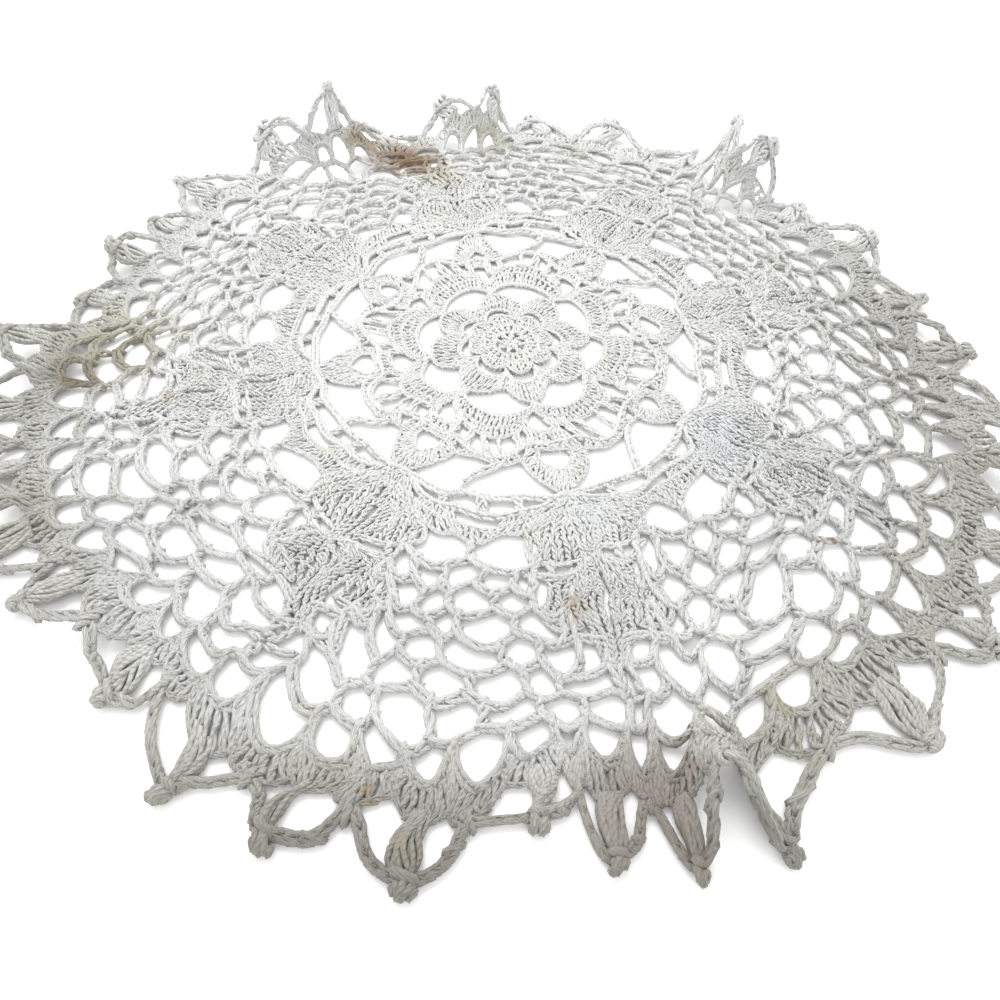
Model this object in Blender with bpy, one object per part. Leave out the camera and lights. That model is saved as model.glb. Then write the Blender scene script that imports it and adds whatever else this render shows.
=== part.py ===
"""Round crocheted lace doily, lying on a surface with its rim in ruffles.

The doily is drawn flat as one outline with its gaps, filled to a thin plate, and then laid over
the folds that the cloth takes: a level middle, standing ruffles at the far side and low waves
round the rest of the rim.

Flat places are polar: a radius in ring units (1.0 is the ring where the eight leaf sprays start)
and an angle in degrees, measured from the first spray. The flat drawing is in millimetres, and
the laid cloth in metres, +Z up, with its origin under the hub.
"""
import math

import bmesh
import bpy
import numpy as np

NAME = "lace_doily"
MM = 0.001

# Driving dimensions, in millimetres
RING = 57.5                 # radius of the ring where the leaf sprays start
THICKNESS = 2.0             # worked cotton, one stitch thick
WELD = 0.01                 # points nearer than this are one
NUDGE = 0.1                 # step for the cloth's slope at a point

# Driving numbers and angles
SPRAYS = 8                  # leaf sprays round the doily
CLUSTERS = 36               # post clusters in the border, one on every other shell
SPRAY_ANGLE = -118.0        # direction of the first spray, degrees from +X

SECTOR = 360.0 / SPRAYS
CLUSTER_PITCH = 360.0 / CLUSTERS
FIRST_CLUSTER = 2.5         # the first cluster's angle from the first spray, degrees

# Gaps that repeat in every sector: angle of the middle from the spray, inner and outer radius,
# half width in degrees at the inner end, the middle and the outer end.
SECTOR_GAPS = (
    # name              angle   r_in   r_out  in    mid   out
    ("petal_crescent",  0.0,    0.225, 0.300, 12.0, 13.5, 7.0),
    ("opening_a",       4.5,    0.640, 0.745, 1.6,  2.8,  2.3),
    ("opening_b",       13.5,   0.640, 0.745, 2.0,  3.0,  2.3),
    ("opening_c",       22.5,   0.650, 0.760, 2.0,  3.1,  2.3),
    ("opening_d",       31.5,   0.640, 0.745, 2.0,  3.0,  2.3),
    ("opening_e",       40.5,   0.640, 0.745, 1.6,  2.8,  2.3),
    ("cup",             0.0,    0.780, 0.885, 2.6,  4.2,  1.6),
    ("window_left",     14.6,   0.830, 0.980, 3.9,  6.2,  6.6),
    ("window_right",    30.4,   0.830, 0.980, 3.9,  6.2,  6.6),
    ("fan",             22.5,   1.030, 1.110, 4.2,  4.8,  2.6),
    ("net_a_left",      17.0,   1.225, 1.365, 3.0,  4.3,  2.6),
    ("net_a_right",     28.0,   1.225, 1.365, 3.0,  4.3,  2.6),
    ("net_b_far_left",  11.2,   1.400, 1.530, 1.7,  2.9,  2.4),
    ("net_b_left",      18.6,   1.410, 1.560, 2.0,  3.2,  2.0),
    ("net_b_right",     26.4,   1.410, 1.560, 2.0,  3.2,  2.0),
    ("net_b_far_right", 33.8,   1.400, 1.530, 1.7,  2.9,  2.4),
    ("net_c_left",      15.1,   1.590, 1.740, 1.8,  3.0,  2.2),
    ("net_c_middle",    22.5,   1.600, 1.750, 2.0,  3.2,  2.0),
    ("net_c_right",     29.9,   1.590, 1.740, 1.8,  3.0,  2.2),
    ("net_d_far_left",  9.0,    1.760, 1.950, 2.3,  4.0,  2.6),
    ("net_d_left",      18.3,   1.785, 1.950, 2.4,  3.7,  2.4),
    ("net_d_right",     26.7,   1.785, 1.950, 2.4,  3.7,  2.4),
    ("net_d_far_right", 36.0,   1.760, 1.950, 2.3,  4.0,  2.6),
)

# Large crescents between the petals and the band, half a sector from the sprays
CRESCENT = {"r_ends": 0.445, "r_inner": 0.385, "r_outer": 0.500, "half_width": 18.5, "steps": 4}

# Loops above the border's shells, and the gaps on both sides of each cluster
SHELL_LOOP = {"r_in": 1.990, "r_out": 2.190, "in": 2.4, "mid": 3.9, "out": 2.6}
RIM_GAP = ((2.310, 1.9), (2.310, 3.4), (2.365, 4.1), (2.440, 3.3), (2.475, 2.0), (2.400, 1.5))

# Half of one cluster's outline, from the cluster's middle to the knot half a pitch away
RIM_OUTLINE = ((2.615, 0.0), (2.595, 0.75), (2.540, 0.9), (2.530, 2.2), (2.470, 3.7), (2.395, 4.45))
KNOT_RADIUS = 2.385

# How unevenly the rim lies: at an angle from the first spray, how far the cloth reaches, as a share
# of its flat radius, and how far it is drawn round, in degrees.
RIM_LIE = (
    # angle  reach  drift
    (2.5,    0.995, 0.3),
    (12.5,   1.000, 0.3),
    (22.5,   1.000, 0.0),
    (32.5,   0.925, 0.5),
    (42.5,   0.960, -4.0),
    (52.5,   1.000, -8.0),
    (62.5,   1.000, -12.0),
    (72.5,   0.995, -5.5),
    (82.5,   1.000, -3.5),
    (97.5,   1.010, -1.5),
    (112.5,  0.985, 0.0),
    (122.5,  0.960, -1.0),
    (132.5,  0.940, -1.0),
    (142.5,  0.940, 2.0),
    (152.5,  0.910, 1.5),
    (167.5,  0.930, 0.0),
    (182.5,  0.930, -1.5),
    (202.5,  0.925, 2.0),
    (217.5,  0.930, 0.0),
    (230.0,  0.880, 1.0),
    (242.5,  0.930, 1.0),
    (254.0,  0.935, 4.0),
    (264.0,  0.940, 6.0),
    (274.0,  0.910, 3.0),
    (292.5,  0.910, 2.0),
    (302.5,  0.985, 2.0),
    (312.5,  1.010, 2.0),
    (332.5,  1.010, 0.0),
    (342.5,  0.970, -2.0),
    (352.5,  0.955, 0.0),
)
LIE_START = 1.10            # radius where the uneven lie starts
LIE_END = 2.55

# Ruffles: where the rim lifts. Angle from the first spray, half width, radius where it starts to
# lift, radial run over which it steepens, its steepest slope, and the share by which it draws the
# cloth together. Angles in degrees.
RUFFLES = (
    # angle  half   start  run    slope  gather
    (244.0,  13.0,  1.86,  0.34,  60.0,  0.34),
    (217.0,  11.0,  1.94,  0.34,  58.0,  0.34),
    (168.0,  13.0,  1.84,  0.34,  54.0,  0.34),
    (264.0,  8.0,   2.10,  0.40,  14.0,  0.0),
    (282.0,  8.0,   2.00,  0.40,  16.0,  0.0),
    (305.0,  9.0,   1.85,  0.45,  20.0,  0.10),
    (193.0,  7.0,   2.05,  0.40,  12.0,  0.0),
    (145.0,  8.0,   1.95,  0.40,  16.0,  0.0),
    (127.0,  7.0,   2.00,  0.40,  16.0,  0.0),
    (104.0,  9.0,   1.90,  0.40,  26.0,  0.10),
    (57.5,   5.5,   1.90,  0.30,  46.0,  0.0),
    (347.0,  6.0,   1.95,  0.40,  14.0,  0.0),
    (326.0,  7.0,   2.00,  0.40,  18.0,  0.0),
)
GATHER_START = 1.35         # radius where the gathering starts
GATHER_END = 2.30
DRAPE_STEPS = 24            # steps of the sum along each radius


def smooth(x):
    """Soft step from 0 at x = 0 to 1 at x = 1."""
    x = np.clip(x, 0.0, 1.0)
    return x * x * (3.0 - 2.0 * x)


def turn(angle):
    """Smallest signed angle, in degrees."""
    return (angle + 180.0) % 360.0 - 180.0


def rim_lie(angle):
    """Reach and drift of the rim at an angle, eased from row to row of the table."""
    angles, reach, drift = np.array(RIM_LIE + ((RIM_LIE[0][0] + 360.0,) + RIM_LIE[0][1:],)).T
    wrapped = (angle - angles[0]) % 360.0 + angles[0]
    row = np.clip(np.searchsorted(angles, wrapped, side="right") - 1, 0, len(angles) - 2)
    share = smooth((wrapped - angles[row]) / (angles[row + 1] - angles[row]))
    return tuple(column[row] * (1.0 - share) + column[row + 1] * share for column in (reach, drift))


def slope(radius, angle):
    """Slope of the cloth at flat polar places, in radians."""
    steep = np.zeros_like(radius)
    for middle, half, start, run, peak, _gather in RUFFLES:
        across = np.clip(np.abs(turn(angle - middle)) / half, 0.0, 1.0)
        bell = np.cos(0.5 * math.pi * across) ** 2
        steep += math.radians(peak) * bell * smooth((radius - start) / run)
    return steep


def gathered(radius, angle):
    """How far the ruffles draw the cloth round at flat polar places, in degrees."""
    pull = smooth((radius - GATHER_START) / (GATHER_END - GATHER_START))
    moved = np.zeros_like(angle)
    for middle, half, _start, _run, _peak, gather in RUFFLES:
        across = turn(angle - middle)
        share = np.clip(np.abs(across) / (2.0 * half), 0.0, 1.0)
        moved -= pull * gather * across * (1.0 - share ** 2) ** 2
    return moved


def lay(x, y):
    """Places on the laid cloth's underside for flat places x and y, all in millimetres."""
    radius = np.hypot(x, y) / RING
    angle = np.degrees(np.arctan2(y, x)) - SPRAY_ANGLE
    out = np.zeros_like(radius)
    height = np.zeros_like(radius)
    step = radius / DRAPE_STEPS
    for i in range(DRAPE_STEPS):
        steep = slope((i + 0.5) * step, angle)
        out += np.cos(steep) * step
        height += np.sin(steep) * step
    reach, drift = rim_lie(angle)
    share = smooth((radius - LIE_START) / (LIE_END - LIE_START))
    out *= 1.0 - share * (1.0 - reach)
    heading = np.radians(angle + share * drift + gathered(radius, angle) + SPRAY_ANGLE)
    return np.stack((out * np.cos(heading), out * np.sin(heading), height), axis=1) * RING


def drape(mesh):
    """Move a flat plate's points onto the laid cloth, its thickness along the cloth's normal."""
    points = np.empty(len(mesh.vertices) * 3)
    mesh.vertices.foreach_get("co", points)
    points = points.reshape(-1, 3)
    x, y, z = points.T
    under = lay(x, y)
    along_x = lay(x + NUDGE, y) - lay(x - NUDGE, y)
    along_y = lay(x, y + NUDGE) - lay(x, y - NUDGE)
    normal = np.cross(along_x, along_y)
    normal /= np.linalg.norm(normal, axis=1)[:, None]
    laid = (under + normal * z[:, None]) * MM
    mesh.vertices.foreach_set("co", laid.ravel())
    mesh.update()


def flat_point(radius, angle):
    """Flat place in millimetres from a radius in ring units and an angle in degrees."""
    heading = math.radians(angle + SPRAY_ANGLE)
    return (RING * radius * math.cos(heading), RING * radius * math.sin(heading))


def hexagon(angle, r_in, r_out, inner, middle, outer):
    """Six-sided gap, its half widths given at the inner end, the middle and the outer end."""
    r_mid = 0.5 * (r_in + r_out)
    right = ((r_in, inner), (r_mid, middle), (r_out, outer))
    left = tuple((r, -half) for r, half in reversed(right))
    return [flat_point(r, angle + half) for r, half in right + left]


def crescent(angle):
    """Crescent gap, bulging outwards, between a petal and the scalloped band."""
    steps = CRESCENT["steps"]
    outer = []
    inner = []
    for i in range(steps + 1):
        share = 2.0 * i / steps - 1.0
        bulge = 1.0 - share * share
        turned = angle + share * CRESCENT["half_width"]
        r_outer = CRESCENT["r_ends"] + bulge * (CRESCENT["r_outer"] - CRESCENT["r_ends"])
        r_inner = CRESCENT["r_ends"] + bulge * (CRESCENT["r_inner"] - CRESCENT["r_ends"])
        outer.append(flat_point(r_outer, turned))
        inner.append(flat_point(r_inner, turned))
    return outer + inner[-2:0:-1]


def gaps():
    """All the gaps that are cut through, each a list of flat points."""
    found = []
    for spray in range(SPRAYS):
        start = spray * SECTOR
        for _name, angle, r_in, r_out, inner, middle, outer in SECTOR_GAPS:
            found.append(hexagon(start + angle, r_in, r_out, inner, middle, outer))
        found.append(crescent(start + 0.5 * SECTOR))
    for cluster in range(CLUSTERS):
        middle = FIRST_CLUSTER + cluster * CLUSTER_PITCH
        loop = SHELL_LOOP
        found.append(hexagon(middle, loop["r_in"], loop["r_out"], loop["in"], loop["mid"], loop["out"]))
        found.append([flat_point(r, middle + half) for r, half in RIM_GAP])
        found.append([flat_point(r, middle - half) for r, half in RIM_GAP])
    return found


def outline():
    """The doily's edge: knobs, chain loops and knots."""
    edge = []
    for cluster in range(CLUSTERS):
        middle = FIRST_CLUSTER + cluster * CLUSTER_PITCH
        for r, half in reversed(RIM_OUTLINE[1:]):
            edge.append(flat_point(r, middle - half))
        for r, half in RIM_OUTLINE:
            edge.append(flat_point(r, middle + half))
        edge.append(flat_point(KNOT_RADIUS, middle + 0.5 * CLUSTER_PITCH))
    return edge


def add_loop(curve, points):
    """Add one closed straight-sided spline."""
    spline = curve.splines.new("POLY")
    spline.points.add(len(points) - 1)
    for point, (x, y) in zip(spline.points, points):
        point.co = (x, y, 0.0, 1.0)
    spline.use_cyclic_u = True


def is_inner(edge):
    """Whether an edge lies inside the upper or the lower face of the plate."""
    return len(edge.link_faces) == 2 and all(abs(face.normal.z) > 0.5 for face in edge.link_faces)


def even_faces(work):
    """Turn the edges inside the two flat faces, so that the folds bend compact triangles."""
    bmesh.ops.triangulate(work, faces=work.faces)
    flat = [face for face in work.faces if abs(face.normal.z) > 0.5]
    inner = [edge for edge in work.edges if is_inner(edge)]
    bmesh.ops.beautify_fill(work, faces=flat, edges=inner, method="AREA")


def cotton():
    """Undyed cotton thread."""
    material = bpy.data.materials.new("cotton")
    material.use_nodes = True
    shader = material.node_tree.nodes["Principled BSDF"]
    shader.inputs["Base Color"].default_value = (0.72, 0.70, 0.65, 1.0)
    shader.inputs["Roughness"].default_value = 0.9
    shader.inputs["Metallic"].default_value = 0.0
    return material


def doily(collection):
    """The whole cloth: a filled outline with its gaps, made a mesh and draped."""
    curve = bpy.data.curves.new(NAME + "_outline", "CURVE")
    curve.dimensions = "2D"
    curve.fill_mode = "BOTH"
    curve.extrude = 0.5 * THICKNESS
    add_loop(curve, outline())
    for gap in gaps():
        add_loop(curve, gap)
    drawing = bpy.data.objects.new(NAME + "_outline", curve)
    drawing.location.z = 0.5 * THICKNESS
    collection.objects.link(drawing)
    depsgraph = bpy.context.evaluated_depsgraph_get()
    mesh = bpy.data.meshes.new_from_object(drawing.evaluated_get(depsgraph))
    mesh.transform(drawing.matrix_world)
    work = bmesh.new()
    work.from_mesh(mesh)
    bmesh.ops.remove_doubles(work, verts=work.verts, dist=WELD)
    even_faces(work)
    bmesh.ops.recalc_face_normals(work, faces=work.faces)
    work.to_mesh(mesh)
    work.free()
    drape(mesh)
    mesh.name = NAME
    cloth = bpy.data.objects.new(NAME, mesh)
    cloth.data.materials.clear()
    cloth.data.materials.append(cotton())
    collection.objects.link(cloth)
    bpy.data.objects.remove(drawing, do_unlink=True)
    return cloth


def main():
    for old in list(bpy.data.objects):
        bpy.data.objects.remove(old, do_unlink=True)
    collection = bpy.data.collections.new(NAME)
    bpy.context.scene.collection.children.link(collection)
    doily(collection)


main()
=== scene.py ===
"""Crocheted lace doily, worked stitch by stitch in cotton thread and laid over the folds of its CAD solid.

Every stitch is made flat first, in millimetres: chain stitches as interlocked teardrop loops, double
crochets as twisted pairs of strands, and so on. Flat places are polar: a radius in ring units (1.0 is
the ring where the eight leaf sprays start) and an angle in degrees, measured from the first spray.
All the points are then laid on the same folds as part.py gives the solid.
"""

import math

import bpy
import numpy as np
from mathutils import Matrix, Vector


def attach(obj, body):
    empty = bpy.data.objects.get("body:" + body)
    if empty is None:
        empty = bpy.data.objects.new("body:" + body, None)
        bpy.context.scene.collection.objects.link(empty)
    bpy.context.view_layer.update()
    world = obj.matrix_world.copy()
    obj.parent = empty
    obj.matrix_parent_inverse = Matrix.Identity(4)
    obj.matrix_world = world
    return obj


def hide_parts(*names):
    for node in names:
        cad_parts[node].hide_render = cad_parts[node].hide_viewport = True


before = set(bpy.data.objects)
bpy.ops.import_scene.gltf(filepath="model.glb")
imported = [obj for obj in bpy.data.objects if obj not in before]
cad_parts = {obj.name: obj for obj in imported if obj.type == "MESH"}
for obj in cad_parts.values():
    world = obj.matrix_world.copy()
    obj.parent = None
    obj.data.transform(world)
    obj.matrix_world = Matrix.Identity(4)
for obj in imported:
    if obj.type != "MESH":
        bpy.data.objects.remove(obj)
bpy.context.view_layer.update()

NODE = "lace_doily"
MM = 0.001

# ---- the cloth's folds, as in part.py
RING = 57.5                 # radius of the ring where the leaf sprays start, in millimetres
SPRAYS = 8
SECTOR = 360.0 / SPRAYS
CLUSTERS = 36
CLUSTER_PITCH = 360.0 / CLUSTERS
FIRST_CLUSTER = 2.5
SPRAY_ANGLE = -118.0

RIM_LIE = (
    # angle, reach, drift
    (2.5, 0.995, 0.3),
    (12.5, 1.000, 0.3),
    (22.5, 1.000, 0.0),
    (32.5, 0.925, 0.5),
    (42.5, 0.960, -4.0),
    (52.5, 1.000, -8.0),
    (62.5, 1.000, -12.0),
    (72.5, 0.995, -5.5),
    (82.5, 1.000, -3.5),
    (97.5, 1.010, -1.5),
    (112.5, 0.985, 0.0),
    (122.5, 0.960, -1.0),
    (132.5, 0.940, -1.0),
    (142.5, 0.940, 2.0),
    (152.5, 0.910, 1.5),
    (167.5, 0.930, 0.0),
    (182.5, 0.930, -1.5),
    (202.5, 0.925, 2.0),
    (217.5, 0.930, 0.0),
    (230.0, 0.880, 1.0),
    (242.5, 0.930, 1.0),
    (254.0, 0.935, 4.0),
    (264.0, 0.940, 6.0),
    (274.0, 0.910, 3.0),
    (292.5, 0.910, 2.0),
    (302.5, 0.985, 2.0),
    (312.5, 1.010, 2.0),
    (332.5, 1.010, 0.0),
    (342.5, 0.970, -2.0),
    (352.5, 0.955, 0.0),
)
LIE_START = 1.10
LIE_END = 2.55

RUFFLES = (
    # angle, half width, start, run, slope, gather
    (244.0, 13.0, 1.86, 0.34, 60.0, 0.34),
    (217.0, 11.0, 1.94, 0.34, 58.0, 0.34),
    (168.0, 13.0, 1.84, 0.34, 54.0, 0.34),
    (264.0, 8.0, 2.10, 0.40, 14.0, 0.0),
    (282.0, 8.0, 2.00, 0.40, 16.0, 0.0),
    (305.0, 9.0, 1.85, 0.45, 20.0, 0.10),
    (193.0, 7.0, 2.05, 0.40, 12.0, 0.0),
    (145.0, 8.0, 1.95, 0.40, 16.0, 0.0),
    (127.0, 7.0, 2.00, 0.40, 16.0, 0.0),
    (104.0, 9.0, 1.90, 0.40, 26.0, 0.10),
    (57.5, 5.5, 1.90, 0.30, 46.0, 0.0),
    (347.0, 6.0, 1.95, 0.40, 14.0, 0.0),
    (326.0, 7.0, 2.00, 0.40, 18.0, 0.0),
)
GATHER_START = 1.35
GATHER_END = 2.30
DRAPE_STEPS = 24
FIRST_LIFT = 1.80           # inside this radius the cloth is level
NUDGE = 0.1                 # step for the cloth's slope at a point, in millimetres
TABLE_CLEAR = 0.00002       # the lowest threads are pressed flat at this height, in metres


def smooth(x):
    x = np.clip(x, 0.0, 1.0)
    return x * x * (3.0 - 2.0 * x)


def turn(angle):
    return (angle + 180.0) % 360.0 - 180.0


def rim_lie(angle):
    angles, reach, drift = np.array(RIM_LIE + ((RIM_LIE[0][0] + 360.0,) + RIM_LIE[0][1:],)).T
    wrapped = (angle - angles[0]) % 360.0 + angles[0]
    row = np.clip(np.searchsorted(angles, wrapped, side="right") - 1, 0, len(angles) - 2)
    share = smooth((wrapped - angles[row]) / (angles[row + 1] - angles[row]))
    return tuple(column[row] * (1.0 - share) + column[row + 1] * share for column in (reach, drift))


def climb(radius, angle):
    """How far out and how high the cloth gets at flat polar places, in ring units."""
    out = np.zeros_like(radius)
    height = np.zeros_like(radius)
    bells = [np.cos(0.5 * math.pi * np.clip(np.abs(turn(angle - row[0])) / row[1], 0.0, 1.0)) ** 2
             for row in RUFFLES]
    step = radius / DRAPE_STEPS
    for i in range(DRAPE_STEPS):
        here = (i + 0.5) * step
        steep = np.zeros_like(radius)
        for bell, (_middle, _half, start, run, peak, _gather) in zip(bells, RUFFLES):
            steep += math.radians(peak) * bell * smooth((here - start) / run)
        out += np.cos(steep) * step
        height += np.sin(steep) * step
    return out, height


def gathered(radius, angle):
    pull = smooth((radius - GATHER_START) / (GATHER_END - GATHER_START))
    moved = np.zeros_like(angle)
    for middle, half, _start, _run, _peak, gather in RUFFLES:
        across = turn(angle - middle)
        share = np.clip(np.abs(across) / (2.0 * half), 0.0, 1.0)
        moved -= pull * gather * across * (1.0 - share ** 2) ** 2
    return moved


def lay(x, y):
    """Places on the laid cloth for flat places x and y, all in millimetres."""
    radius = np.hypot(x, y) / RING
    angle = np.degrees(np.arctan2(y, x)) - SPRAY_ANGLE
    out = radius.copy()
    height = np.zeros_like(radius)
    rim = radius > FIRST_LIFT
    out[rim], height[rim] = climb(radius[rim], angle[rim])
    reach, drift = rim_lie(angle)
    share = smooth((radius - LIE_START) / (LIE_END - LIE_START))
    out *= 1.0 - share * (1.0 - reach)
    heading = np.radians(angle + share * drift + gathered(radius, angle) + SPRAY_ANGLE)
    return np.stack((out * np.cos(heading), out * np.sin(heading), height), axis=1) * RING


def cloth_axes(x, y):
    """The laid cloth's places and its three unit axes there, for flat places in millimetres."""
    under = lay(x, y)
    along_x = lay(x + NUDGE, y) - lay(x - NUDGE, y)
    along_y = lay(x, y + NUDGE) - lay(x, y - NUDGE)
    normal = np.cross(along_x, along_y)
    normal /= np.linalg.norm(normal, axis=1)[:, None]
    between = (along_x / np.linalg.norm(along_x, axis=1)[:, None]
               + along_y / np.linalg.norm(along_y, axis=1)[:, None])
    between /= np.linalg.norm(between, axis=1)[:, None]
    square = np.cross(normal, between)
    axis_x = (between - square) / math.sqrt(2.0)
    axis_y = (between + square) / math.sqrt(2.0)
    return under, np.stack((axis_x, axis_y, normal), axis=1)


def drape(points):
    """Flat points in millimetres, with their height over the cloth's underside, laid in metres."""
    under, axes = cloth_axes(points[:, 0], points[:, 1])
    return (under + axes[:, 2] * points[:, 2:]) * MM


def drape_rings(middles, rings):
    """Rings of points round threads' middles, laid in metres without squeezing the threads. middles is
    (places, 3) in flat millimetres; rings is a list of (places, points, 3) steps away from the middles."""
    under, axes = cloth_axes(middles[:, 0], middles[:, 1])
    laid = under + axes[:, 2] * middles[:, 2:]
    points = []
    start = 0
    for ring in rings:
        part = slice(start, start + len(ring))
        points.append((laid[part, None, :] + ring @ axes[part]).reshape(-1, 3))
        start += len(ring)
    return np.vstack(points) * MM


# ---- hand-made unevenness
rng = np.random.default_rng(7)
WAVE_SIZE = 0.30            # millimetres
OUTER_WAVE = 1.45           # the field's growth towards the rim
SKEW_SIZE = 0.75            # a slower field, in millimetres, that slants the meshes of the net


def waves(count, shortest, longest):
    """Random headings, wave numbers and phases of a smooth field, from its wavelengths in millimetres."""
    return (rng.uniform(0.0, 2.0 * math.pi, count), 2.0 * math.pi / rng.uniform(shortest, longest, count),
            rng.uniform(0.0, 2.0 * math.pi, (count, 2)))


QUICK_WAVES = waves(14, 11.0, 34.0)
SLOW_WAVES = waves(5, 40.0, 75.0)


def uneven(points):
    """Shift flat points by a smooth random field, so that no two repeats are the same."""
    x, y = points[:, 0], points[:, 1]
    radius = np.hypot(x, y) / RING
    grow = smooth((radius - 0.03) / 0.40) * (1.0 + (OUTER_WAVE - 1.0) * smooth((radius - 0.9) / 0.6))
    slow = SKEW_SIZE * smooth((radius - 1.0) / 0.5) * smooth((2.75 - radius) / 0.6)
    moved = points.copy()
    for size, field in ((WAVE_SIZE * grow, QUICK_WAVES), (slow, SLOW_WAVES)):
        for heading, number, phase in zip(*field):
            along = number * (x * math.cos(heading) + y * math.sin(heading))
            moved[:, :2] += size[:, None] * np.sin(along[:, None] + phase)
    return moved


# ---- threads
def polar(r, a):
    """Flat places in millimetres from radii in ring units and angles in degrees from the first spray."""
    heading = np.radians(np.asarray(a, float) + SPRAY_ANGLE)
    r = np.asarray(r, float) * RING
    return np.stack((r * np.cos(heading), r * np.sin(heading)), axis=-1)


def circle(count):
    """Evenly spaced angles round a circle, in radians."""
    return 2.0 * math.pi * np.arange(count) / count


def through(points):
    """A smooth line through the given points, with six steps between each two."""
    points = np.asarray(points, float)
    ends = np.vstack((2 * points[0] - points[1], points, 2 * points[-1] - points[-2]))
    t = np.linspace(0.0, 1.0, 6, endpoint=False)[:, None]
    line = []
    for i in range(len(points) - 1):
        p0, p1, p2, p3 = ends[i:i + 4]
        line.append(0.5 * (2 * p1 + (p2 - p0) * t + (2 * p0 - 5 * p1 + 4 * p2 - p3) * t ** 2
                           + (3 * p1 - p0 - 3 * p2 + p3) * t ** 3))
    line.append(points[-1:])
    return np.vstack(line)


HEADING_STEP = 0.4          # a line's heading is read this far to each side, in millimetres


class Line:
    """A line in the flat plane that can be read at any distance along it."""

    def __init__(self, points):
        self.points = np.asarray(points, float)
        step = np.linalg.norm(np.diff(self.points, axis=0), axis=1)
        self.at = np.concatenate(([0.0], np.cumsum(step)))
        self.length = self.at[-1]

    def read(self, s):
        return np.stack([np.interp(s, self.at, column) for column in self.points.T], axis=-1)

    def place(self, s):
        s = np.asarray(s, float)
        inside = np.clip(s, 0.0, self.length)
        return self.read(inside) + (s - inside)[..., None] * self.heading(inside)

    def heading(self, s):
        ahead = self.read(np.clip(s + HEADING_STEP, 0.0, self.length))
        ahead -= self.read(np.clip(s - HEADING_STEP, 0.0, self.length))
        return ahead / np.maximum(np.linalg.norm(ahead, axis=-1), 1e-9)[..., None]


BUNDLE = 0.45               # a tube this thick, in millimetres, is one thread; a thicker one shows more plies


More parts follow.
